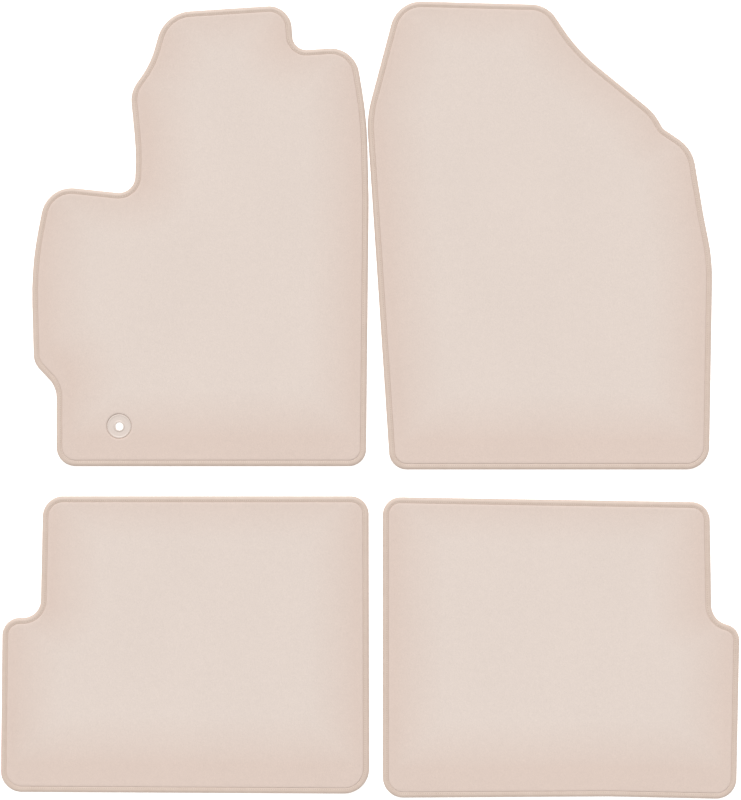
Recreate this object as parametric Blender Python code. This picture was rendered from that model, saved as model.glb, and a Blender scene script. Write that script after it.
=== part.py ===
"""A set of four tailored carpet floor mats for a passenger car.

Metres, +Z up, +Y towards the front of the car, +X towards its right-hand side. The mats lie flat in a
two by two layout, and the frame's origin is on the floor under the middle of the set. Each mat is a
sandwich of a velour face and an anti-slip backing, bound all round with a folded tape that one lockstitch
seam holds. The driver mat also has a two-piece plastic eyelet that drops over a floor post.
"""

import math

import bmesh
import bpy
from mathutils import Vector

MM = 0.001
CLEARANCE = 0.3  # between touching pieces, in mm like every size below

# Each mat's place is the rear left corner of its box, and its outline is a list of corners in the mat's
# own frame: (x to the right, y to the front, corner radius). The outline runs clockwise from above.
MATS = {
    "driver": {
        "place": (-508, -99),
        "corners": [
            (200, 681, 54), (388, 693, 36), (393, 624, 21), (485, 630, 43),
            (503, 524, 600), (506, 399, 600), (502, 0, 26), (37, 0, 29),
            (37, 119, 40), (3, 155, 33), (-1, 300, 500), (23, 422, 46),
            (154, 408, 25), (157, 470, 450), (148, 562, 45), (178, 604, 140),
        ],
    },
    "passenger": {
        "place": (-4, -104),
        "corners": [
            (45, 704, 47), (270, 698, 46), (315, 630, 280), (430, 536, 95),
            (444, 512, 14), (488, 482, 57), (505, 380, 250), (515, 330, 250),
            (518, 297, 500), (513, 0, 35), (34, 0, 27), (-1, 530, 160),
        ],
    },
    "rear_left": {
        "place": (-555, -591),
        "corners": [
            (64, 447, 31), (553, 447, 27), (554, 0, 38), (0, 3, 32), (3, 265, 27), (60, 264, 27),
        ],
    },
    "rear_right": {
        "place": (19, -599),
        "corners": [
            (0, 454, 27), (491, 446, 28), (494, 270, 30), (536, 256, 24),
            (531, 0, 31), (340, 4, 300), (0, 2, 31),
        ],
    },
}
ARC_STEP = math.radians(15)

# Heights above the floor. The backing rests on the floor inside the bound border, and is thinner where
# the tape's lower leg passes under it.
BACKING_TOP = 2.2
PILE_BOTTOM = BACKING_TOP + CLEARANCE
PILE_TOP = 7.5
PILE_SHOULDER_DROP = 0.6
PILE_SHOULDER_WIDTH = 1.1

TAPE_WIDTH = 9.0
TAPE_THICKNESS = 0.8
TAPE_FOLD_CHAMFER = 1.0
TAPE_BOTTOM = 0.6
LOWER_LEG_THICKNESS = 0.7
LOWER_LEG_TOP = TAPE_BOTTOM + LOWER_LEG_THICKNESS
BORDER_BACKING_BOTTOM = LOWER_LEG_TOP + CLEARANCE
CARPET_INSET = TAPE_THICKNESS + CLEARANCE
FIELD_INSET = TAPE_WIDTH + CLEARANCE
BACKING_STEP_WIDTH = 1.0

# The tape's upper leg is domed over the pile that it presses down. Its two faces, and the pile's face
# under them, as (inset from the mat's outer edge, height).
UPPER_LEG_OUTSIDE = [(0, 4.7), (1.2, 6.4), (3.2, 7.0), (5.4, 7.0), (TAPE_WIDTH, 5.9)]
UPPER_LEG_INSIDE = [(TAPE_WIDTH, 5.1), (5.2, 6.2), (3.4, 6.2), (1.7, 5.65), (TAPE_THICKNESS, 4.5)]
PRESSED_PILE = [(CARPET_INSET, 4.4), (1.9, 5.4), (3.5, 5.9), (5.15, 5.9), (FIELD_INSET, 4.65)]

SEAM_INSET = 6.4  # from the mat's outer edge to the middle of the seam
THREAD_WIDTH = 0.8
THREAD_THICKNESS = 0.3
NEEDLE_THREAD_BOTTOM = 7.15
BOBBIN_THREAD_BOTTOM = 0.05

# The eyelet. Its axis is given in the driver mat's frame.
EYELET_AXIS = (131.5, 60.0)
FLANGE_RADIUS = 18.4
FLANGE_TOP = 6.7
FLANGE_THICKNESS = 1.7
FLANGE_EDGE_ROUNDING = 0.5
FLANGE_BOTTOM = FLANGE_TOP - FLANGE_THICKNESS
RIM_WIDTH = 2.0
SEAT_RADIUS = FLANGE_RADIUS - RIM_WIDTH
SEAT_DEPTH = 0.5
RIM_SLOPE_WIDTH = 0.5
BORE_RADIUS = 6.0
LIP_RADIUS = 9.0
LIP_HEIGHT = 0.9
LIP_SLOPE_WIDTH = 1.3
LIP_EDGE_ROUNDING = 0.6
COLLAR_RADIUS = 8.3
COLLAR_BOTTOM = 0.15
LOCK_RING_RADIUS = 17.0
LOCK_RING_BOTTOM = 0.15
LOCK_RING_TOP = 1.1
LOCK_RING_CHAMFER = 0.3
EYELET_SEGMENTS = 32
CUTTER_OVERSHOOT = 2.0

# Base colour (linear), roughness and metallic value of each kind of piece.
FINISHES = {
    "velour_face": ((0.775, 0.672, 0.610), 0.95, 0.0),
    "antislip_backing": ((0.330, 0.280, 0.240), 0.90, 0.0),
    "edge_binding": ((0.730, 0.610, 0.540), 0.60, 0.0),
    "needle_thread": ((0.760, 0.650, 0.580), 0.55, 0.0),
    "bobbin_thread": ((0.700, 0.590, 0.520), 0.55, 0.0),
    "eyelet_flange": ((0.690, 0.590, 0.530), 0.45, 0.0),
    "eyelet_lock_ring": ((0.640, 0.550, 0.490), 0.50, 0.0),
}
SHARP_ANGLE = math.radians(40)


def clear_scene():
    for obj in list(bpy.data.objects):
        bpy.data.objects.remove(obj, do_unlink=True)


def finish_of(kind):
    """The kind's material, made the first time that it is asked for."""
    material = bpy.data.materials.get(kind)
    if material:
        return material
    colour, roughness, metallic = FINISHES[kind]
    material = bpy.data.materials.new(kind)
    material.use_nodes = True
    shader = material.node_tree.nodes["Principled BSDF"]
    shader.inputs["Base Color"].default_value = (*colour, 1.0)
    shader.inputs["Roughness"].default_value = roughness
    shader.inputs["Metallic"].default_value = metallic
    return material


def corner_arc(before, corner, after, radius):
    """Points of the arc that rounds one corner, each with its outward normal, for a clockwise outline."""
    to_before = before - corner
    to_after = after - corner
    half_angle = to_before.angle(to_after) / 2
    reach = min(radius / math.tan(half_angle), 0.49 * to_before.length, 0.49 * to_after.length)
    radius = reach * math.tan(half_angle)
    bisector = (to_before.normalized() + to_after.normalized()).normalized()
    centre = corner + bisector * (radius / math.sin(half_angle))
    start = corner + to_before.normalized() * reach - centre
    end = corner + to_after.normalized() * reach - centre
    turn = start.angle_signed(end)
    outward = 1 if turn > 0 else -1
    steps = max(1, math.ceil(abs(turn) / ARC_STEP - 1e-6))
    arc = []
    for i in range(steps + 1):
        swing = -turn * i / steps
        direction = Vector((
            start.x * math.cos(swing) - start.y * math.sin(swing),
            start.x * math.sin(swing) + start.y * math.cos(swing),
        ))
        arc.append((centre + direction, outward * direction.normalized()))
    return arc


def outline_of(corners):
    """The rounded outline as (point, outward normal) pairs, clockwise from above."""
    count = len(corners)
    outline = []
    for i, (x, y, radius) in enumerate(corners):
        before = Vector(corners[i - 1][:2])
        after = Vector(corners[(i + 1) % count][:2])
        outline += corner_arc(before, Vector((x, y)), after, radius)
    return outline


def add_ring(mesh, outline, inset, height):
    """One loop of vertices, parallel to the outline and inset from it, at one height."""
    ring = []
    for point, normal in outline:
        place = point - normal * inset
        ring.append(mesh.verts.new(Vector((place.x, place.y, height)) * MM))
    return ring


def bridge(mesh, lower, upper):
    """Quads between two loops of the same length."""
    count = len(lower)
    for i in range(count):
        j = (i + 1) % count
        mesh.faces.new((lower[j], lower[i], upper[i], upper[j]))


def new_object(name, kind, mesh, parent):
    """An object on its parent's origin, made from a bmesh whose normals are set outwards here."""
    bmesh.ops.recalc_face_normals(mesh, faces=mesh.faces)
    data = bpy.data.meshes.new(name)
    mesh.to_mesh(data)
    mesh.free()
    data.materials.append(finish_of(kind))
    data.shade_smooth()
    data.set_sharp_from_angle(angle=SHARP_ANGLE)
    obj = bpy.data.objects.new(name, data)
    obj.parent = parent
    bpy.context.scene.collection.objects.link(obj)
    return obj


def plate(name, kind, outline, profile, parent):
    """A closed sheet whose edge follows the profile's (inset, height) pairs from its bottom to its top."""
    mesh = bmesh.new()
    rings = [add_ring(mesh, outline, inset, height) for inset, height in profile]
    for lower, upper in zip(rings, rings[1:]):
        bridge(mesh, lower, upper)
    mesh.faces.new(rings[0])
    mesh.faces.new(reversed(rings[-1]))
    return new_object(name, kind, mesh, parent)


def border(name, kind, outline, profile, parent):
    """A closed section of (inset, height) pairs carried all the way round the outline."""
    mesh = bmesh.new()
    rings = [add_ring(mesh, outline, inset, height) for inset, height in profile]
    for lower, upper in zip(rings, rings[1:] + rings[:1]):
        bridge(mesh, lower, upper)
    return new_object(name, kind, mesh, parent)


def turned(name, kind, profile, parent):
    """A ring turned about the parent's Z axis from a closed section of (radius, height) pairs."""
    mesh = bmesh.new()
    circle = []
    for i in range(EYELET_SEGMENTS):
        angle = -2 * math.pi * i / EYELET_SEGMENTS
        circle.append((Vector((0, 0)), Vector((math.cos(angle), math.sin(angle)))))
    rings = [add_ring(mesh, circle, -radius, height) for radius, height in profile]
    for lower, upper in zip(rings, rings[1:] + rings[:1]):
        bridge(mesh, lower, upper)
    return new_object(name, kind, mesh, parent)


def cut_turned(obj, kind, profile, parent):
    """Cuts a stepped round hole out of an object; the cutter's (radius, height) pairs run upwards."""
    mesh = bmesh.new()
    rings = []
    for radius, height in profile:
        made = bmesh.ops.create_circle(mesh, segments=EYELET_SEGMENTS, radius=radius * MM)
        bmesh.ops.translate(mesh, verts=made["verts"], vec=(0, 0, height * MM))
        rings.append(made["verts"])
    for lower, upper in zip(rings, rings[1:]):
        bridge(mesh, lower, upper)
    mesh.faces.new(rings[0])
    mesh.faces.new(rings[-1])
    cutter = new_object(f"{obj.name}_cutter", kind, mesh, parent)
    cutter.hide_render = True
    cutter.display_type = "WIRE"
    modifier = obj.modifiers.new("eyelet_seat", "BOOLEAN")
    modifier.operation = "DIFFERENCE"
    modifier.solver = "EXACT"
    modifier.object = cutter


def velour_face(mat, outline, parent):
    """The carpet: full pile in the field, pressed down in the border by the tape's upper leg."""
    profile = [
        (CARPET_INSET, PILE_BOTTOM),
        *PRESSED_PILE,
        (FIELD_INSET, PILE_TOP - PILE_SHOULDER_DROP),
        (FIELD_INSET + PILE_SHOULDER_WIDTH, PILE_TOP),
    ]
    return plate(f"{mat}_velour_face", "velour_face", outline, profile, parent)


def antislip_backing(mat, outline, parent):
    """The lower sheet: on the floor in the field, stepped up in the border over the tape's lower leg."""
    profile = [
        (FIELD_INSET + BACKING_STEP_WIDTH, 0),
        (FIELD_INSET, BORDER_BACKING_BOTTOM),
        (CARPET_INSET, BORDER_BACKING_BOTTOM),
        (CARPET_INSET, BACKING_TOP),
    ]
    return plate(f"{mat}_antislip_backing", "antislip_backing", outline, profile, parent)


def edge_binding(mat, outline, parent):
    """The folded tape: flat lower leg, outer web, domed upper leg."""
    profile = [
        (TAPE_WIDTH, TAPE_BOTTOM),
        (TAPE_FOLD_CHAMFER, TAPE_BOTTOM),
        (0, TAPE_BOTTOM + TAPE_FOLD_CHAMFER),
        *UPPER_LEG_OUTSIDE,
        *UPPER_LEG_INSIDE,
        (TAPE_THICKNESS, LOWER_LEG_TOP),
        (TAPE_WIDTH, LOWER_LEG_TOP),
    ]
    return border(f"{mat}_edge_binding", "edge_binding", outline, profile, parent)


def seam_thread(mat, kind, outline, bottom, parent):
    """One thread of the lockstitch, drawn as the flat line that its stitches make."""
    profile = [
        (SEAM_INSET + THREAD_WIDTH / 2, bottom),
        (SEAM_INSET - THREAD_WIDTH / 2, bottom),
        (SEAM_INSET - THREAD_WIDTH / 2, bottom + THREAD_THICKNESS),
        (SEAM_INSET + THREAD_WIDTH / 2, bottom + THREAD_THICKNESS),
    ]
    return border(f"{mat}_{kind}", kind, outline, profile, parent)


def eyelet_flange(mat, parent):
    """The upper half: a rimmed disc, a raised lip round its bore, and a collar through the mat."""
    seat_top = FLANGE_TOP - SEAT_DEPTH
    lip_top = seat_top + LIP_HEIGHT
    profile = [
        (FLANGE_RADIUS - FLANGE_EDGE_ROUNDING, FLANGE_BOTTOM),
        (FLANGE_RADIUS, FLANGE_BOTTOM + FLANGE_EDGE_ROUNDING),
        (FLANGE_RADIUS, FLANGE_TOP - FLANGE_EDGE_ROUNDING),
        (FLANGE_RADIUS - FLANGE_EDGE_ROUNDING, FLANGE_TOP),
        (SEAT_RADIUS + RIM_SLOPE_WIDTH, FLANGE_TOP),
        (SEAT_RADIUS, seat_top),
        (LIP_RADIUS, seat_top),
        (LIP_RADIUS - LIP_SLOPE_WIDTH, lip_top),
        (BORE_RADIUS + LIP_EDGE_ROUNDING, lip_top),
        (BORE_RADIUS, lip_top - LIP_EDGE_ROUNDING),
        (BORE_RADIUS, COLLAR_BOTTOM),
        (COLLAR_RADIUS, COLLAR_BOTTOM),
        (COLLAR_RADIUS, FLANGE_BOTTOM),
    ]
    return turned(f"{mat}_eyelet_flange", "eyelet_flange", profile, parent)


def eyelet_lock_ring(mat, parent):
    """The lower half: a flat ring round the collar's end."""
    inner = COLLAR_RADIUS + CLEARANCE
    profile = [
        (LOCK_RING_RADIUS - LOCK_RING_CHAMFER, LOCK_RING_BOTTOM),
        (LOCK_RING_RADIUS, LOCK_RING_BOTTOM + LOCK_RING_CHAMFER),
        (LOCK_RING_RADIUS, LOCK_RING_TOP),
        (inner, LOCK_RING_TOP),
        (inner, LOCK_RING_BOTTOM),
    ]
    return turned(f"{mat}_eyelet_lock_ring", "eyelet_lock_ring", profile, parent)


def add_eyelet(mat, velour, backing, parent):
    """The two-piece eyelet, with its seats cut in the pile and in the backing."""
    axis = bpy.data.objects.new(f"{mat}_eyelet_axis", None)
    axis.parent = parent
    axis.location = Vector((*EYELET_AXIS, 0)) * MM
    bpy.context.scene.collection.objects.link(axis)
    eyelet_flange(mat, axis)
    eyelet_lock_ring(mat, axis)

    hole = COLLAR_RADIUS + CLEARANCE
    pile_seat = [
        (hole, PILE_BOTTOM - CUTTER_OVERSHOOT),
        (hole, FLANGE_BOTTOM - CLEARANCE),
        (FLANGE_RADIUS + CLEARANCE, FLANGE_BOTTOM - CLEARANCE),
        (FLANGE_RADIUS + CLEARANCE, PILE_TOP + CUTTER_OVERSHOOT),
    ]
    cut_turned(velour, "velour_face", pile_seat, axis)
    ring_seat = [
        (LOCK_RING_RADIUS + CLEARANCE, -CUTTER_OVERSHOOT),
        (LOCK_RING_RADIUS + CLEARANCE, LOCK_RING_TOP + CLEARANCE),
        (hole, LOCK_RING_TOP + CLEARANCE),
        (hole, BACKING_TOP + CUTTER_OVERSHOOT),
    ]
    cut_turned(backing, "antislip_backing", ring_seat, axis)


def add_mat(mat, place, corners):
    """One mat's pieces, under an empty at its place."""
    root = bpy.data.objects.new(f"{mat}_mat", None)
    root.location = Vector((*place, 0)) * MM
    bpy.context.scene.collection.objects.link(root)
    outline = outline_of(corners)
    velour = velour_face(mat, outline, root)
    backing = antislip_backing(mat, outline, root)
    edge_binding(mat, outline, root)
    seam_thread(mat, "needle_thread", outline, NEEDLE_THREAD_BOTTOM, root)
    seam_thread(mat, "bobbin_thread", outline, BOBBIN_THREAD_BOTTOM, root)
    if mat == "driver":
        add_eyelet(mat, velour, backing, root)


def main():
    clear_scene()
    for mat, design in MATS.items():
        add_mat(mat, design["place"], design["corners"])
    bpy.context.view_layer.update()


main()
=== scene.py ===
"""Looks of the floor mat set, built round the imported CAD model.

Every mat is rebuilt as what it is: a dense velour pile with a soft shoulder along its bound edge, a
folded tape with a rounded section that its own seam pulls down, rows of separate lockstitches above and
below, a grained anti-slip backing and, on the driver mat, a moulded two-piece eyelet. Lengths are in
metres unless a name ends in MM.
"""

import math

import bpy
import numpy as np
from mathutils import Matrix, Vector, geometry, noise


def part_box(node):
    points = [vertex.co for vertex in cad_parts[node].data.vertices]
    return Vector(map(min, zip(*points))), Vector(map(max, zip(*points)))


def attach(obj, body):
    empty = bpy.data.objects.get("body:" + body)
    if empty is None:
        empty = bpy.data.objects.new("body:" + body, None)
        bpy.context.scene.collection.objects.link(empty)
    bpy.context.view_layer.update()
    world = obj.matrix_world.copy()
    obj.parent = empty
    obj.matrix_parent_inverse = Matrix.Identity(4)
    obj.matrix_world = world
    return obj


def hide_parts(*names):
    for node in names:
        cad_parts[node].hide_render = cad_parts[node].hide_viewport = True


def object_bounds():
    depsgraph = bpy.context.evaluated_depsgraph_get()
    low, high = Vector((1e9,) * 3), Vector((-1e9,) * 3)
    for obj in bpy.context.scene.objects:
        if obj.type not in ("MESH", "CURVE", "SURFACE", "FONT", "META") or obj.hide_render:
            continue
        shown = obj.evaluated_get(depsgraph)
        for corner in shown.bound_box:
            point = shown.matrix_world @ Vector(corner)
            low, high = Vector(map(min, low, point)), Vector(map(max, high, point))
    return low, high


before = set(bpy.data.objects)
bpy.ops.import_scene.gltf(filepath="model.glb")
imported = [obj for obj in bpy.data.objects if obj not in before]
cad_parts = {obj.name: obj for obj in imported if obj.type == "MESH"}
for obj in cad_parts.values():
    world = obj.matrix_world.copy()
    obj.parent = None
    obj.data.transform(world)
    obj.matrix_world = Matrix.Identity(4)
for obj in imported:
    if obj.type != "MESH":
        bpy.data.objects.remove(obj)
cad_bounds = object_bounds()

MM = 0.001

# The mats' outlines, as in the CAD: corners (x to the right, y to the front, corner radius) in
# millimetres, clockwise from above. Each is centred on its own CAD binding.
CORNERS_MM = {
    "driver": [
        (200, 681, 54), (388, 693, 36), (393, 624, 21), (485, 630, 43),
        (503, 524, 600), (506, 399, 600), (502, 0, 26), (37, 0, 29),
        (37, 119, 40), (3, 155, 33), (-1, 300, 500), (23, 422, 46),
        (154, 408, 25), (157, 470, 450), (148, 562, 45), (178, 604, 140),
    ],
    "passenger": [
        (45, 704, 47), (270, 698, 46), (315, 630, 280), (430, 536, 95),
        (444, 512, 14), (488, 482, 57), (505, 380, 250), (515, 330, 250),
        (518, 297, 500), (513, 0, 35), (34, 0, 27), (-1, 530, 160),
    ],
    "rear_left": [
        (64, 447, 31), (553, 447, 27), (554, 0, 38), (0, 3, 32), (3, 265, 27), (60, 264, 27),
    ],
    "rear_right": [
        (0, 454, 27), (491, 446, 28), (494, 270, 30), (536, 256, 24),
        (531, 0, 31), (340, 4, 300), (0, 2, 31),
    ],
}
ARC_STEP = math.radians(3)

# The seam: one needle stitch and one bobbin stitch to each pitch.
STITCH_PITCH = 3.3 * MM
SAMPLES_PER_STITCH = 3
SEAM_INSET = 6.4 * MM
STITCH_LENGTH = 2.7 * MM
STITCH_RADIUS = 0.30 * MM
STITCH_SLANT = 0.16 * MM
STITCH_RINGS = 7
STITCH_SIDES = 6
NEEDLE_HEIGHT = 6.88 * MM
BOBBIN_HEIGHT = 0.58 * MM

# Sections as (inset from the mat's outer edge, height above the floor), in millimetres. The tape's runs
# from the lower leg's free edge round the outer web to the upper leg's free edge, then back inside.
TAPE_OUTSIDE_MM = [
    (9.0, 0.75), (8.4, 0.60), (6.4, 0.62), (4.2, 0.60), (2.4, 0.66), (1.1, 1.10), (0.30, 2.10),
    (0.0, 3.45), (0.25, 4.70), (0.85, 5.70), (1.8, 6.42), (3.0, 6.88), (4.3, 7.06), (5.4, 7.05),
    (6.0, 6.99), (6.4, 6.94), (6.9, 6.87), (7.6, 6.75), (8.3, 6.58), (8.8, 6.36), (9.0, 6.12),
]
TAPE_INSIDE_MM = [
    (8.8, 5.75), (7.4, 6.02), (6.2, 6.15), (4.4, 6.22), (2.5, 5.75), (1.25, 4.70), (0.85, 3.60),
    (1.15, 2.30), (2.6, 1.45), (5.0, 1.34), (8.8, 1.30),
]
PILE_EDGE_MM = [
    (1.45, 2.55), (1.45, 4.40), (2.7, 5.40), (4.4, 5.90), (6.2, 5.82), (7.4, 5.70), (9.0, 5.45),
    (9.04, 6.15), (8.86, 6.56), (9.15, 6.95), (9.85, 7.22), (10.9, 7.36), (12.3, 7.43), (13.8, 7.46),
]
BACKING_EDGE_MM = [(10.6, 0.0), (10.0, 0.25), (9.5, 1.3), (9.1, 1.62), (1.45, 1.62), (1.45, 2.2)]
PILE_ROUND_EYELET_MM = [(0.05, 4.72), (0.07, 5.55), (0.3, 6.35), (0.8, 6.95), (1.8, 7.32), (3.6, 7.46)]

# A height between the tape's lower and upper legs.
BETWEEN_LEGS = 3.6 * MM

# How the tape is not perfect: pulled down by the seam, pitted at each needle hole, and gathered where it
# turns a corner.
SEAM_DIP = 0.07 * MM
HOLE_DIP = 0.24 * MM
SEAM_DIP_WIDTH = 0.45 * MM
GATHER_HEIGHT = 0.13 * MM
GATHER_PITCH = 4.6 * MM
SLACK_HEIGHT = 0.06 * MM
SLACK_SIZE = 22 * MM

# The pile's own relief, and the spacing of the points that carry it.
PILE_TOP = 7.42 * MM
PILE_GRID = 3.0 * MM
PILE_FUZZ = 0.10 * MM
PILE_RAGGED = 0.16 * MM
PILE_RAGGED_SIZE = 2.6 * MM
BACKING_GRID = 12 * MM

# The pile's painted shade beside the tape, a darker and warmer colour towards the bound edge: the distances
# where it starts to fade and is gone, and how much wider it is along a rear edge, and narrower along a front
# edge, than along the sides.
EDGE_SHADE_START = 20 * MM
EDGE_SHADE_END = 91 * MM
EDGE_SHADE_LEAN = 25 * MM

# The eyelet's holes through the carpet and the backing.
CIRCLE_POINTS = 96
COLLAR_HOLE_RADIUS = 8.6 * MM
RING_CLEARANCE = 0.3 * MM
RING_SEAT_TOP = 1.4 * MM


# ---------------------------------------------------------------- outlines

def corner_arc(before, corner, after, radius):
    """The arc that rounds one corner of a clockwise outline, as [x, y, normal x, normal y] rows."""
    to_before, to_after = before - corner, after - corner
    half_angle = to_before.angle(to_after) / 2
    reach = min(radius / math.tan(half_angle), 0.49 * to_before.length, 0.49 * to_after.length)
    radius = reach * math.tan(half_angle)
    bisector = (to_before.normalized() + to_after.normalized()).normalized()
    centre = corner + bisector * (radius / math.sin(half_angle))
    start = corner + to_before.normalized() * reach - centre
    end = corner + to_after.normalized() * reach - centre
    turn = start.angle_signed(end)
    outward = 1 if turn > 0 else -1
    steps = max(2, math.ceil(abs(turn) / ARC_STEP))
    rows = []
    for i in range(steps + 1):
        swing = -turn * i / steps
        x = start.x * math.cos(swing) - start.y * math.sin(swing)
        y = start.x * math.sin(swing) + start.y * math.cos(swing)
        rows.append((centre.x + x, centre.y + y, outward * x / radius, outward * y / radius))
    return rows


class Outline:
    """A mat's outer edge, sampled a whole number of times in each stitch."""

    def __init__(self, mat):
        corners = [(Vector(c[:2]) * MM, c[2] * MM) for c in CORNERS_MM[mat]]
        rows = []
        for i, (corner, radius) in enumerate(corners):
            after = corners[(i + 1) % len(corners)][0]
            rows += corner_arc(corners[i - 1][0], corner, after, radius)
        rows = np.array(rows + rows[:1])
        steps = np.hypot(*np.diff(rows[:, :2], axis=0).T)
        along = np.concatenate([[0], np.cumsum(steps)])
        self.length = along[-1]
        self.stitches = round(self.length / STITCH_PITCH)
        count = self.stitches * SAMPLES_PER_STITCH
        self.along = np.arange(count) * self.length / count
        sampled = [np.interp(self.along, along, rows[:, k]) for k in range(4)]
        self.points = np.stack(sampled[:2], axis=1)
        self.normals = np.stack(sampled[2:], axis=1)
        self.normals /= np.linalg.norm(self.normals, axis=1, keepdims=True)
        low, high = (np.array(corner[:2]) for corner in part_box(f"{mat}_edge_binding"))
        self.points += (low + high) / 2 - (self.points.min(axis=0) + self.points.max(axis=0)) / 2
        self.size = self.points.max(axis=0) - self.points.min(axis=0)
        self.bend = self.corner_bend()

    def corner_bend(self):
        """How sharply the outline turns outwards at each sample, from 0 to 1 and smoothed."""
        turned = np.roll(self.normals, -1, axis=0)
        cross = self.normals[:, 0] * turned[:, 1] - self.normals[:, 1] * turned[:, 0]
        tight_radius = 30 * MM
        sharpness = np.clip(-cross / (self.length / len(self.along)) * tight_radius, 0, 1)
        spread = 9
        for _ in range(2):
            sharpness = sum(np.roll(sharpness, k) for k in range(-spread, spread + 1)) / (2 * spread + 1)
        return sharpness

    def ring(self, inset, step=1):
        """Points parallel to the edge and inset from it."""
        return (self.points - self.normals * inset)[::step]


def wave(x, y, size, seed):
    """Smooth noise of about -1 to 1 whose features are of that size."""
    return noise.noise(Vector((x / size, y / size, seed)))


# ---------------------------------------------------------------- meshes

class Shape:
    """Vertices and faces gathered from rings, strips and filled sheets."""

    def __init__(self):
        self.points = []
        self.faces = []

    def ring(self, flat, heights):
        """Adds a loop of points, and returns their numbers."""
        first = len(self.points)
        heights = np.broadcast_to(heights, len(flat))
        self.points += [(x, y, z) for (x, y), z in zip(flat, heights)]
        return np.arange(first, len(self.points))

    def bridge(self, first, second):
        """Quads between two loops of the same count."""
        for a, b, c, d in zip(first, np.roll(first, -1), np.roll(second, -1), second):
            self.faces.append((a, b, c, d))

    def fill(self, loops, inside, height_of, upwards):
        """Fills the first loop with triangles through the inside points; the others are round holes."""
        flat = [self.points[i][:2] for loop in loops for i in loop]
        numbers = [int(i) for loop in loops for i in loop]
        edges, start = [], 0
        for loop in loops:
            count = len(loop)
            edges += [(start + i, start + (i + 1) % count) for i in range(count)]
            start += count
        hole_numbers = set(numbers[len(loops[0]):])
        for x, y in inside:
            numbers.append(len(self.points))
            self.points.append((x, y, height_of(x, y)))
            flat.append((x, y))
        found = geometry.delaunay_2d_cdt([Vector(p) for p in flat], edges, [], 1, 1e-7)
        faces, sources = found[2], found[3]
        for face in faces:
            corners = [numbers[sources[i][0]] for i in face]
            if not hole_numbers.issuperset(corners):
                self.faces.append(tuple(corners if upwards else reversed(corners)))

    def build(self, name, material, attributes=None):
        """Makes the object, smooth shaded."""
        mesh = bpy.data.meshes.new(name)
        points = [tuple(map(float, point)) for point in self.points]
        faces = [tuple(map(int, face)) for face in self.faces]
        mesh.from_pydata(points, [], faces)
        mesh.validate()
        for key, values in (attributes or {}).items():
            layer = mesh.attributes.new(key, "FLOAT", "POINT")
            layer.data.foreach_set("value", np.asarray(values, dtype=np.float32))
        mesh.materials.append(material)
        mesh.shade_smooth()
        obj = bpy.data.objects.new(name, mesh)
        bpy.context.scene.collection.objects.link(obj)
        return obj


def circle(centre, radius, count=CIRCLE_POINTS):
    """Points round a centre, clockwise from above like the outlines."""
    angles = -2 * math.pi * np.arange(count) / count
    return np.stack([centre[0] + radius * np.cos(angles), centre[1] + radius * np.sin(angles)], axis=1)


def inside_grid(loop, spacing, margin, holes=()):
    """Staggered grid points inside a loop, at least the margin from it and clear of the round holes."""
    low, high = loop.min(axis=0), loop.max(axis=0)
    row_height = spacing * math.sqrt(3) / 2
    found = []
    after = np.roll(loop, -1, axis=0)
    for row in range(int((high[1] - low[1]) / row_height) + 1):
        y = low[1] + row * row_height
        xs = np.arange(low[0] + spacing / 2 * (row % 2), high[0], spacing)
        crossing = (loop[:, 1] > y) != (after[:, 1] > y)
        a, b = loop[crossing], after[crossing]
        cuts = np.sort(a[:, 0] + (y - a[:, 1]) * (b[:, 0] - a[:, 0]) / (b[:, 1] - a[:, 1]))
        within = np.searchsorted(cuts, xs) % 2 == 1
        near = loop[np.abs(loop[:, 1] - y) < margin]
        for x in xs[within]:
            if len(near) and np.hypot(near[:, 0] - x, near[:, 1] - y).min() < margin:
                continue
            if all(math.hypot(x - cx, y - cy) > radius + margin for (cx, cy), radius in holes):
                found.append((x, y))
    return found


# ---------------------------------------------------------------- materials

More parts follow.
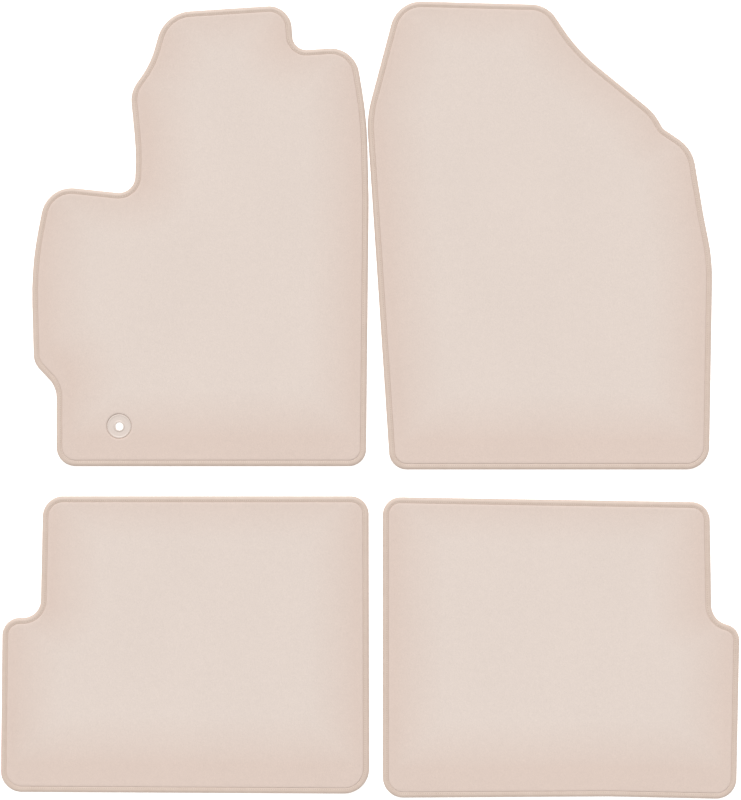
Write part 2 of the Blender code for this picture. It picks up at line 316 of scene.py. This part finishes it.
class Nodes:
    """A material's node tree, with a short way to add nodes and to join them."""

    def __init__(self, name):
        self.material = bpy.data.materials.new(name)
        self.material.use_nodes = True
        self.tree = self.material.node_tree
        self.shader = self.tree.nodes["Principled BSDF"]
        self.place = self.add("ShaderNodeTexCoord").outputs["Object"]

    def add(self, kind, **settings):
        """A new node of that kind, with its settings."""
        node = self.tree.nodes.new(kind)
        for key, value in settings.items():
            setattr(node, key, value)
        return node

    def link(self, source, target):
        self.tree.links.new(source, target)

    def noise(self, feature, detail=2.0, roughness=0.5, stretch=(1, 1, 1)):
        """Noise whose features are of that size in metres, as a 0 to 1 output."""
        mapping = self.add("ShaderNodeMapping")
        mapping.inputs["Scale"].default_value = stretch
        self.link(self.place, mapping.inputs["Vector"])
        node = self.add("ShaderNodeTexNoise")
        node.inputs["Scale"].default_value = 1 / feature
        node.inputs["Detail"].default_value = detail
        node.inputs["Roughness"].default_value = roughness
        self.link(mapping.outputs["Vector"], node.inputs["Vector"])
        return node.outputs["Fac"]

    def cells(self, feature, randomness=1.0):
        """Distance from the middle of round cells of that size, 0 at a middle."""
        node = self.add("ShaderNodeTexVoronoi")
        node.inputs["Scale"].default_value = 1 / feature
        node.inputs["Randomness"].default_value = randomness
        self.link(self.place, node.inputs["Vector"])
        return node.outputs["Distance"]

    def remap(self, value, low, high, to_low, to_high, smooth=False):
        """The value with low to high stretched to to_low to to_high, and clamped there."""
        node = self.add("ShaderNodeMapRange")
        if smooth:
            node.interpolation_type = "SMOOTHSTEP"
        for key, number in (("From Min", low), ("From Max", high), ("To Min", to_low), ("To Max", to_high)):
            node.inputs[key].default_value = number
        self.link(value, node.inputs["Value"])
        return node.outputs["Result"]

    def times(self, first, second):
        """The product of two outputs."""
        node = self.add("ShaderNodeMath", operation="MULTIPLY")
        self.link(first, node.inputs[0])
        self.link(second, node.inputs[1])
        return node.outputs["Value"]

    def mix(self, factor, first, second, blend="MIX"):
        """Mixes two colours, each an output or an (r, g, b), by a number or an output."""
        node = self.add("ShaderNodeMix", data_type="RGBA", blend_type=blend)
        for key, value in (("Factor_Float", factor), ("A_Color", first), ("B_Color", second)):
            socket = next(s for s in node.inputs if s.identifier == key)
            if isinstance(value, tuple):
                socket.default_value = (*value, 1.0)
            elif isinstance(value, (int, float)):
                socket.default_value = value
            else:
                self.link(value, socket)
        return next(s for s in node.outputs if s.identifier == "Result_Color")

    def brighten(self, colour, amount):
        """The colour times a brightness that an output gives."""
        grey = self.add("ShaderNodeCombineColor")
        for socket in grey.inputs[:3]:
            self.link(amount, socket)
        return self.mix(1.0, colour, grey.outputs["Color"], blend="MULTIPLY")

    def bump(self, height, distance, strength, below=None):
        """A normal bent by a height, on top of the normal below if there is one."""
        node = self.add("ShaderNodeBump")
        node.inputs["Strength"].default_value = strength
        node.inputs["Distance"].default_value = distance
        self.link(height, node.inputs["Height"])
        if below is not None:
            self.link(below, node.inputs["Normal"])
        return node.outputs["Normal"]

    def finish(self, colour, roughness, normal, **constants):
        """Joins the shader up; constants are set on its own sockets."""
        self.link(colour, self.shader.inputs["Base Color"])
        self.link(roughness, self.shader.inputs["Roughness"])
        self.link(normal, self.shader.inputs["Normal"])
        for key, value in constants.items():
            self.shader.inputs[key.replace("_", " ")].default_value = value
        return self.material


def velour_material():
    """Dense cut pile: fibre tips, soft fuzz, brushed patches, and painted shade that darkens it near the
    bound edge.
    """
    nodes = Nodes("velour_pile")
    # Painted shade: the pile's colour is darker and warmer towards its bound edge, by the mask that
    # velour_face stores.
    rim = nodes.add("ShaderNodeAttribute", attribute_name="painted_edge_shade").outputs["Fac"]
    colour = nodes.mix(rim, (0.646, 0.528, 0.465), (0.676, 0.584, 0.528))
    tips = nodes.noise(0.0006, detail=3.0, roughness=0.62, stretch=(1.0, 0.45, 1.0))
    fuzz = nodes.noise(0.0026, detail=4.0, roughness=0.66, stretch=(1.0, 0.7, 1.0))
    clump = nodes.noise(0.009, detail=2.0)
    brushed = nodes.noise(0.11, detail=1.5, stretch=(1.0, 0.55, 1.0))
    tone = nodes.remap(tips, 0.3, 0.7, 0.93, 1.06)
    tone = nodes.times(tone, nodes.remap(fuzz, 0.3, 0.7, 0.978, 1.022))
    tone = nodes.times(tone, nodes.remap(clump, 0.3, 0.7, 0.992, 1.008))
    tone = nodes.times(tone, nodes.remap(brushed, 0.3, 0.7, 0.992, 1.008))
    colour = nodes.brighten(colour, tone)
    normal = nodes.bump(fuzz, 0.0006, 0.27)
    normal = nodes.bump(tips, 0.00035, 0.5, below=normal)
    return nodes.finish(
        colour, nodes.remap(tips, 0.2, 0.8, 0.90, 1.0), normal,
        Sheen_Weight=0.22, Sheen_Roughness=0.45, Sheen_Tint=(1.0, 0.92, 0.86, 1.0), Specular_IOR_Level=0.12,
    )


def tape_material():
    """Coated textile tape: satin, with a very fine grain, and painted shade in its needle holes."""
    nodes = Nodes("binding_tape")
    pit = nodes.add("ShaderNodeAttribute", attribute_name="needle_hole_shade").outputs["Fac"]
    mottle = nodes.noise(0.012, detail=2.0)
    grain = nodes.noise(0.0005, detail=3.0, roughness=0.6)
    crease = nodes.noise(0.0028, detail=3.0)
    colour = nodes.mix(nodes.remap(mottle, 0.3, 0.7, 0.0, 1.0), (0.582, 0.465, 0.393), (0.610, 0.492, 0.420))
    # Painted shade: the tape is coloured darker in each needle hole.
    colour = nodes.mix(pit, colour, (0.450, 0.345, 0.280))
    colour = nodes.brighten(colour, nodes.remap(grain, 0.3, 0.7, 0.97, 1.025))
    normal = nodes.bump(crease, 0.0003, 0.15)
    normal = nodes.bump(grain, 0.00012, 0.35, below=normal)
    return nodes.finish(
        colour, nodes.remap(grain, 0.3, 0.7, 0.42, 0.56), normal,
        Sheen_Weight=0.05, Sheen_Roughness=0.4, Specular_IOR_Level=0.4,
    )


def thread_material():
    """Twisted polyester sewing thread in the tape's colour."""
    nodes = Nodes("seam_thread")
    fibre = nodes.noise(0.00035, detail=2.0)
    twist = nodes.noise(0.0008, detail=0.0, stretch=(1.0, 1.6, 1.0))
    colour = nodes.mix(twist, (0.660, 0.550, 0.475), (0.735, 0.635, 0.560))
    colour = nodes.brighten(colour, nodes.remap(fibre, 0.2, 0.8, 0.90, 1.06))
    normal = nodes.bump(twist, 0.0002, 0.6)
    return nodes.finish(
        colour, nodes.remap(fibre, 0.2, 0.8, 0.42, 0.62), normal,
        Sheen_Weight=0.15, Sheen_Roughness=0.35, Specular_IOR_Level=0.4,
    )


def backing_material():
    """Matt anti-slip sheet: a pebbled grip grain with paler crumbs in it."""
    nodes = Nodes("antislip_grip")
    pebble = nodes.cells(0.0028)
    crumb = nodes.noise(0.0013, detail=3.0, roughness=0.6)
    patch = nodes.noise(0.06, detail=2.0)
    crumbs = nodes.remap(crumb, 0.48, 0.62, 0.0, 1.0, smooth=True)
    colour = nodes.mix(crumbs, (0.245, 0.205, 0.172), (0.350, 0.300, 0.255))
    colour = nodes.brighten(colour, nodes.remap(patch, 0.3, 0.7, 0.95, 1.05))
    normal = nodes.bump(nodes.remap(pebble, 0.0, 0.7, 1.0, 0.0), 0.0007, 0.7)
    normal = nodes.bump(crumb, 0.0003, 0.5, below=normal)
    return nodes.finish(
        colour, nodes.remap(crumb, 0.3, 0.7, 0.82, 0.94), normal, Specular_IOR_Level=0.25,
    )


def eyelet_material():
    """Moulded plastic: satin, a very fine spark-eroded texture and slight cloudiness."""
    nodes = Nodes("eyelet_moulding")
    cloud = nodes.noise(0.009, detail=2.0)
    spark = nodes.noise(0.00045, detail=2.0)
    colour = nodes.mix(cloud, (0.625, 0.535, 0.480), (0.665, 0.575, 0.520))
    colour = nodes.brighten(colour, nodes.remap(spark, 0.3, 0.7, 0.975, 1.02))
    normal = nodes.bump(spark, 0.00006, 0.5)
    return nodes.finish(colour, nodes.remap(spark, 0.2, 0.8, 0.38, 0.52), normal, Specular_IOR_Level=0.5)


MATERIALS = {
    "velour": velour_material(),
    "tape": tape_material(),
    "thread": thread_material(),
    "backing": backing_material(),
    "eyelet": eyelet_material(),
}


# ---------------------------------------------------------------- pieces

def near_seam(insets):
    """1 on the seam line, falling to almost 0 a millimetre away from it."""
    return np.exp(-((insets - SEAM_INSET) / SEAM_DIP_WIDTH) ** 2)


def needle_holes(outline):
    """1 at each needle hole along the outline, and 0 between them."""
    return (np.arange(len(outline.along)) % SAMPLES_PER_STITCH == 0).astype(float)


def seam_pull(outline, insets, heights):
    """How far the seam presses the tape in: a shallow valley with a pit at each needle hole."""
    depth = SEAM_DIP + HOLE_DIP * needle_holes(outline)
    towards_carpet = np.where(heights > BETWEEN_LEGS, -1.0, 0.25)
    return depth[:, None] * (near_seam(insets) * towards_carpet)[None, :]


def gathers(outline, insets, heights):
    """Small pleats on the legs' inner halves where the tape turns an outer corner."""
    ripple = np.sin(2 * math.pi * outline.along / GATHER_PITCH + 3 * np.sin(outline.along / (17 * MM)))
    reach = np.clip((insets - 3.5 * MM) / (5 * MM), 0, 1)
    upper = np.where(heights > BETWEEN_LEGS, 1.0, 0.3)
    return GATHER_HEIGHT * (outline.bend * ripple)[:, None] * (reach * upper)[None, :]


def edge_binding(mat, outline):
    """The folded tape, swept round the outline as one closed skin."""
    section = np.array(TAPE_OUTSIDE_MM + TAPE_INSIDE_MM) * MM
    insets, heights = section.T
    skin = len(TAPE_OUTSIDE_MM)
    shift = seam_pull(outline, insets, heights) + gathers(outline, insets, heights)
    shift[:, skin:] = 0
    slack = np.array([wave(s, 0, SLACK_SIZE, 5) for s in outline.along]) * SLACK_HEIGHT
    slack_from, slack_to = 9, skin - 3
    # Mask of the painted shade in the needle holes, on the tape's outer skin only.
    pit_shading = needle_holes(outline)[:, None] * near_seam(insets)[None, :] * (np.arange(len(section)) < skin)
    shape = Shape()
    rings = []
    for k in range(len(section)):
        swell = slack if slack_from <= k <= slack_to else 0
        rings.append(shape.ring(outline.ring(insets[k]), heights[k] + shift[:, k] + swell))
    for first, second in zip(rings, rings[1:] + rings[:1]):
        shape.bridge(second, first)
    return shape.build(f"{mat}_binding_tape", MATERIALS["tape"], {"needle_hole_shade": pit_shading.T.ravel()})


def stitch_row(mat, outline, name, surface, side):
    """Separate stitches along the seam; side is 1 on the upper leg and -1 under the lower one.

    Each is a tapered and flattened rod that arches a little and dives into its needle holes.
    """
    centres = (np.arange(outline.stitches) + 0.5) * SAMPLES_PER_STITCH
    span = np.linspace(-1, 1, STITCH_RINGS)
    turns = 2 * math.pi * np.arange(STITCH_SIDES) / STITCH_SIDES
    taper, flatness = 0.35, 0.85
    arch, dive = 0.10 * MM, 0.55 * MM
    shape = Shape()
    count = len(outline.along)
    line = outline.ring(SEAM_INSET)
    half = STITCH_LENGTH / 2 / (outline.length / count)
    for centre in centres:
        rings = []
        for u in span:
            at = centre + u * half
            low = int(math.floor(at))
            share = at - low
            point = line[low % count] * (1 - share) + line[(low + 1) % count] * share
            normal = outline.normals[low % count]
            radius = STITCH_RADIUS * (1 - taper * u * u)
            lift = surface + side * (arch - dive * u ** 4)
            across = STITCH_SLANT * u
            flat = [point + normal * (across + radius * math.cos(t)) for t in turns]
            rings.append(shape.ring(flat, [lift + flatness * radius * math.sin(t) for t in turns]))
        for first, second in zip(rings, rings[1:]):
            shape.bridge(first, second)
        shape.faces.append(tuple(reversed(rings[0])))
        shape.faces.append(tuple(rings[-1]))
    return shape.build(name, MATERIALS["thread"])


def pile_height(x, y):
    """The pile's top: wide soft rolls, brushed clumps and a fine unevenness."""
    rolls = 0.22 * MM * wave(x, y, 130 * MM, 1.0)
    clumps = 0.10 * MM * wave(x, y, 21 * MM, 7.0)
    uneven = 0.07 * MM * wave(x, y, 9 * MM, 3.0)
    return PILE_TOP + rolls + clumps + uneven


def painted_edge_shade(distance):
    """How far the painted edge shade has faded: 0 at the bound edge, rising smoothly to 1 in the open pile.
    """
    share = np.clip((distance - EDGE_SHADE_START) / (EDGE_SHADE_END - EDGE_SHADE_START), 0, 1)
    return share ** 0.8


def ragged(points, directions, inset):
    """Pushes the pile's shoulder in and out a little, as cut fibres do; it fades into the open pile."""
    strength = PILE_RAGGED * np.interp(inset / MM, [8.8, 9.2, 12.5], [1.0, 1.0, 0.0])
    size = PILE_RAGGED_SIZE
    push = [wave(x, y, size, 4.0) + 0.6 * wave(x, y, size / 2.3, 9.0) for x, y in points]
    return points + directions * (strength * np.array(push))[:, None]


def pile_edge(shape, outline):
    """The pile from its pressed rim up to its shoulder; returns its lowest and highest loops."""
    free_height = 6 * MM
    rings = []
    for inset, height in np.array(PILE_EDGE_MM) * MM:
        flat = outline.ring(inset)
        fuzz = 0
        if height > free_height:
            flat = ragged(flat, outline.normals, inset)
            fuzz = PILE_FUZZ
        heights = [height + fuzz * wave(x, y, 4 * MM, 2.0) for x, y in flat]
        rings.append(shape.ring(flat, heights))
    for lower, upper in zip(rings, rings[1:]):
        shape.bridge(upper, lower)
    return rings[0], rings[-1]


def pile_round_eyelet(shape, centre, flange_radius):
    """The hole for the collar and the seat for the flange; returns the lowest and highest loops."""
    section = np.array(PILE_ROUND_EYELET_MM) * MM
    seat = [shape.ring(circle(centre, flange_radius + gap), height) for gap, height in section]
    neck_top = shape.ring(circle(centre, COLLAR_HOLE_RADIUS), section[0][1])
    neck_base = shape.ring(circle(centre, COLLAR_HOLE_RADIUS), PILE_EDGE_MM[0][1] * MM)
    for inner, outer in zip([neck_base, neck_top] + seat, [neck_top] + seat):
        shape.bridge(inner, outer)
    return neck_base, seat[-1]


def velour_face(mat, outline, eyelet):
    """The carpet: pressed down under the tape, a soft shoulder that just laps over it, and open pile."""
    shape = Shape()
    lowest, highest = pile_edge(shape, outline)
    base, field, holes = [lowest], [highest], []
    if eyelet:
        neck, brim = pile_round_eyelet(shape, *eyelet)
        base.append(neck)
        field.append(brim)
        centre, flange_radius = eyelet
        holes.append((centre, flange_radius + PILE_ROUND_EYELET_MM[-1][0] * MM))
    loop = np.array([shape.points[i][:2] for i in highest])
    inside = inside_grid(loop, PILE_GRID, 0.6 * PILE_GRID, holes)
    shape.fill(field, inside, pile_height, True)
    shape.fill(base, [], None, False)
    flat = np.array([p[:2] for p in shape.points])
    # Mask of the painted edge shade: distance from the edge, made longer along front edges and shorter along
    # rear ones.
    edge = outline.ring(0, SAMPLES_PER_STITCH)
    lean = EDGE_SHADE_LEAN * outline.normals[::SAMPLES_PER_STITCH, 1]
    distance = distance_to(edge, flat, lean)
    return shape.build(f"{mat}_velour_pile", MATERIALS["velour"], {"painted_edge_shade": painted_edge_shade(distance)})


def distance_to(loop, points, handicap):
    """Each point's least distance to a loop, where each point of the loop adds its own handicap."""
    nearest = np.empty(len(points))
    batch = 2000
    for start in range(0, len(points), batch):
        part = points[start:start + batch]
        gaps = np.linalg.norm(part[:, None, :] - loop[None, :, :], axis=2)
        nearest[start:start + batch] = (gaps + handicap[None, :]).min(axis=1)
    return nearest


def backing_round_eyelet(shape, centre, ring_radius, top_height):
    """The recess for the lock ring and the hole for the collar; returns the lowest and highest loops."""
    section = [
        (ring_radius, 0), (ring_radius, RING_SEAT_TOP),
        (COLLAR_HOLE_RADIUS, RING_SEAT_TOP), (COLLAR_HOLE_RADIUS, top_height),
    ]
    loops = [shape.ring(circle(centre, radius), height) for radius, height in section]
    for lower, upper in zip(loops, loops[1:]):
        shape.bridge(lower, upper)
    return loops[0], loops[-1]


def antislip_backing(mat, outline, eyelet):
    """The lower sheet, thinned where the tape's lower leg passes under it."""
    step = SAMPLES_PER_STITCH
    section = np.array(BACKING_EDGE_MM) * MM
    top_height = section[-1][1]
    shape = Shape()
    rings = [shape.ring(outline.ring(inset, step), height) for inset, height in section]
    for lower, upper in zip(rings, rings[1:]):
        shape.bridge(upper, lower)
    base, top, holes = [rings[0]], [rings[-1]], []
    if eyelet:
        mouth, neck = backing_round_eyelet(shape, *eyelet, top_height)
        base.append(mouth)
        top.append(neck)
        holes.append(eyelet)
    loop = outline.ring(section[0][0], step)
    inside = inside_grid(loop, BACKING_GRID, BACKING_GRID / 2, holes)
    shape.fill(top, inside, lambda x, y: top_height, True)
    shape.fill(base, inside, lambda x, y: 0, False)
    return shape.build(f"{mat}_antislip_sheet", MATERIALS["backing"])


def turned(name, centre, profile_mm):
    """A ring turned about a vertical axis from a closed (radius, height) section."""
    shape = Shape()
    rings = [shape.ring(circle(centre, radius), height) for radius, height in np.array(profile_mm) * MM]
    for first, second in zip(rings, rings[1:] + rings[:1]):
        shape.bridge(second, first)
    return shape.build(name, MATERIALS["eyelet"])


def rounded(section, radius_mm, steps=3):
    """The section with each corner replaced by a small arc."""
    corners = [Vector(p) for p in section]
    made = []
    for i, corner in enumerate(corners):
        before, after = corners[i - 1] - corner, corners[(i + 1) % len(corners)] - corner
        reach = min(radius_mm, 0.4 * before.length, 0.4 * after.length)
        start, end = corner + before.normalized() * reach, corner + after.normalized() * reach
        for k in range(steps + 1):
            t = k / steps
            made.append(tuple((1 - t) ** 2 * start + 2 * t * (1 - t) * corner + t * t * end))
    return made


def eyelet_flange(centre):
    """The disc with its rolled rim, the raised lip round its bore, and the collar below."""
    low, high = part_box("driver_eyelet_flange")
    radius, lip, bottom = (high[0] - low[0]) / 2 / MM, high[2] / MM, low[2] / MM
    seat = lip - 0.9
    under = lip - 2.1
    section = [
        (radius - 0.3, under), (radius, under + 0.35), (radius - 0.05, lip - 1.4), (radius - 1.2, lip - 0.5),
        (radius - 1.8, lip - 0.42), (radius - 3.1, seat), (9.0, seat), (8.5, seat + 0.15),
        (7.7, lip - 0.12), (7.1, lip), (6.6, lip - 0.05), (6.15, lip - 0.4), (6.0, lip - 1.0),
        (6.0, bottom), (8.3, bottom), (8.3, under),
    ]
    return turned("driver_eyelet_disc", centre, rounded(section, 0.45))


def eyelet_lock_ring(centre):
    """The ring that the collar locks into, flush with the underside."""
    low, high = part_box("driver_eyelet_lock_ring")
    radius, top, bottom = (high[0] - low[0]) / 2 / MM, high[2] / MM, low[2] / MM
    section = [(radius, bottom), (radius, top), (8.6, top), (8.6, bottom)]
    return turned("driver_eyelet_snap_ring", centre, rounded(section, 0.28))


def stand_in(piece, body, slot, *nodes):
    """The piece rides on the mat's body and stands for CAD nodes; the slot is not used."""
    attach(piece, body)
    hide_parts(*nodes)


def round_piece(node):
    """The centre and the radius of a round CAD node."""
    low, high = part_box(node)
    return ((low[0] + high[0]) / 2, (low[1] + high[1]) / 2), (high[0] - low[0]) / 2


def add_mat(mat):
    """Builds a mat's pieces and has them stand for its CAD nodes."""
    outline = Outline(mat)
    body = f"{mat}_mat"
    pile_eyelet = backing_eyelet = None
    if mat == "driver":
        centre, flange_radius = round_piece("driver_eyelet_flange")
        pile_eyelet = (centre, flange_radius)
        backing_eyelet = (centre, round_piece("driver_eyelet_lock_ring")[1] + RING_CLEARANCE)
    pile = velour_face(mat, outline, pile_eyelet)
    sheet = antislip_backing(mat, outline, backing_eyelet)
    tape = edge_binding(mat, outline)
    needle = stitch_row(mat, outline, f"{mat}_needle_stitches", NEEDLE_HEIGHT, 1)
    bobbin = stitch_row(mat, outline, f"{mat}_bobbin_stitches", BOBBIN_HEIGHT, -1)
    stand_in(pile, body, "velour", f"{mat}_velour_face")
    stand_in(sheet, body, "antislip_backing", f"{mat}_antislip_backing")
    stand_in(tape, body, "edge_binding", f"{mat}_edge_binding")
    stand_in(needle, body, "seam_thread", f"{mat}_needle_thread")
    stand_in(bobbin, body, "seam_thread", f"{mat}_bobbin_thread")
    on_it = [tape, needle, bobbin]
    if mat == "driver":
        disc = eyelet_flange(centre)
        snap = eyelet_lock_ring(centre)
        stand_in(disc, body, "eyelet_plastic", "driver_eyelet_flange")
        stand_in(snap, body, "eyelet_plastic", "driver_eyelet_lock_ring")
        on_it += [disc, snap]


# ---------------------------------------------------------------- studio

def open_from_below(tree, shader):
    """Lets the floor's underside be seen through, so that the mats' own undersides can be looked at."""
    side = tree.nodes.new("ShaderNodeNewGeometry")
    clear = tree.nodes.new("ShaderNodeBsdfTransparent")
    mix = tree.nodes.new("ShaderNodeMixShader")
    tree.links.new(side.outputs["Backfacing"], mix.inputs[0])
    tree.links.new(shader.outputs[0], mix.inputs[1])
    tree.links.new(clear.outputs[0], mix.inputs[2])
    tree.links.new(mix.outputs[0], tree.nodes["Material Output"].inputs["Surface"])


def add_floor():
    """A wide pale floor that glows a little, as a light table does, just under the mats."""
    mesh = bpy.data.meshes.new("studio_floor")
    lines = (-30.0, -0.8, 0.8, 30.0)
    corners = [(x, y, 0) for y in lines for x in lines]
    starts = [row * 4 + column for row in range(3) for column in range(3)]
    mesh.from_pydata(corners, [], [(i, i + 1, i + 5, i + 4) for i in starts])
    floor = bpy.data.objects.new("studio_floor", mesh)
    floor.location.z = -0.2 * MM
    bpy.context.scene.collection.objects.link(floor)
    material = bpy.data.materials.new("studio_floor")
    material.use_nodes = True
    shader = material.node_tree.nodes["Principled BSDF"]
    shader.inputs["Base Color"].default_value = (0.80, 0.80, 0.80, 1)
    shader.inputs["Roughness"].default_value = 0.9
    shader.inputs["Emission Color"].default_value = (1, 1, 1, 1)
    shader.inputs["Emission Strength"].default_value = 0.68
    open_from_below(material.node_tree, shader)
    mesh.materials.append(material)


def add_lights():
    """A broad soft key from the front of the car, and an even white surround."""
    key_elevation = math.radians(55)
    sun = bpy.data.lights.new("soft_key", "SUN")
    sun.energy = 2.46
    sun.angle = math.radians(32)
    lamp = bpy.data.objects.new("soft_key", sun)
    towards = Vector((-0.12, math.cos(key_elevation), math.sin(key_elevation)))
    lamp.rotation_euler = towards.to_track_quat("Z", "Y").to_euler()
    bpy.context.scene.collection.objects.link(lamp)
    world = bpy.data.worlds.new("surround")
    world.use_nodes = True
    background = world.node_tree.nodes["Background"]
    background.inputs["Color"].default_value = (1, 1, 1, 1)
    background.inputs["Strength"].default_value = 0.525
    bpy.context.scene.world = world


def add_camera():
    """Straight above the set, far enough away to see it almost without perspective."""
    camera = bpy.data.cameras.new("camera")
    camera.lens = 100
    camera.sensor_width = 36
    view_height = 1.200
    centre_x, centre_y = 0.75 * MM, 0.4 * MM
    top = cad_bounds[1][2]
    eye = bpy.data.objects.new("camera", camera)
    eye.location = (centre_x, centre_y, top + view_height * camera.lens / camera.sensor_width)
    bpy.context.scene.collection.objects.link(eye)
    bpy.context.scene.camera = eye


for mat_name in CORNERS_MM:
    add_mat(mat_name)
add_floor()
add_lights()
add_camera()
bpy.context.scene.view_settings.view_transform = "Standard"
bpy.context.scene.view_settings.look = "None"

bpy.context.view_layer.update()
